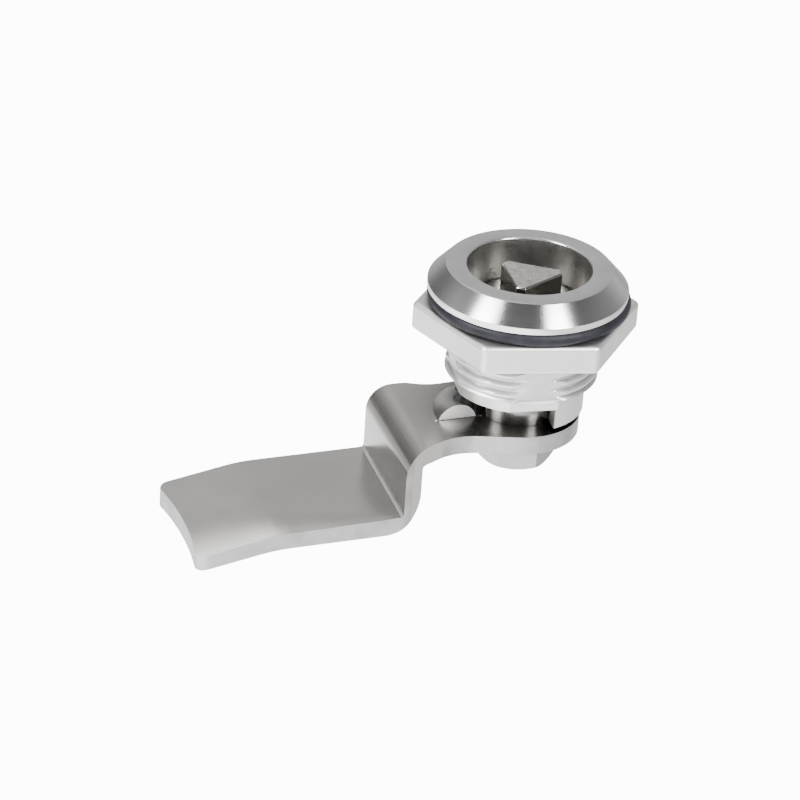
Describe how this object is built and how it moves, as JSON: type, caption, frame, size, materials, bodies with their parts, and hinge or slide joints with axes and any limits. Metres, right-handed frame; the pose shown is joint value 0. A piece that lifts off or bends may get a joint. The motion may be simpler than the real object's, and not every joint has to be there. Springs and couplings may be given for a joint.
{
  "type": "quarter-turn cam latch with triangular key",
  "caption": "Quarter-turn triangle lock: flanged, flatted barrel with ring seal and nut, triangular key post, cranked cam stopped by a pressed bump.",
  "frame": {"origin": "centre of the flange's underside, where the lock sits on the front of the panel", "axes": "+Z along the lock's axis out of the front of the panel; barrel flats square to X and Y; the cam's arm near -X at rest"},
  "size_m": [0.0672, 0.0312, 0.0372],
  "materials": {
    "housing_metal": "turned face, fine blasted barrel",
    "nut_metal": "fine blasted, matt",
    "spindle_steel": "turned, polished shaft",
    "cam_steel": "pressed, tumbled to a satin",
    "screw_steel": "plain bright steel",
    "black_rubber": "satin moulded"
  },
  "bodies": {
    "lock_housing": {"housing": "housing_metal", "panel_seal": "black_rubber"},
    "clamp_nut": {"mounting_nut": "nut_metal"},
    "turning_cam": {"spindle": "spindle_steel", "spindle_seal": "black_rubber", "cam": "cam_steel", "cam_washer": "screw_steel", "cam_screw": "screw_steel"}
  },
  "joints": [
    {"name": "cam_turn", "type": "hinge", "parent": "lock_housing", "child": "turning_cam", "pos_m": [0, 0, 0], "axis": [0, 0, 1], "range_deg": [0, 90]},
    {"name": "nut_travel", "type": "slide", "parent": "lock_housing", "child": "clamp_nut", "axis": [0, 0, -1], "range_m": [0, 0.006]}
  ]
}
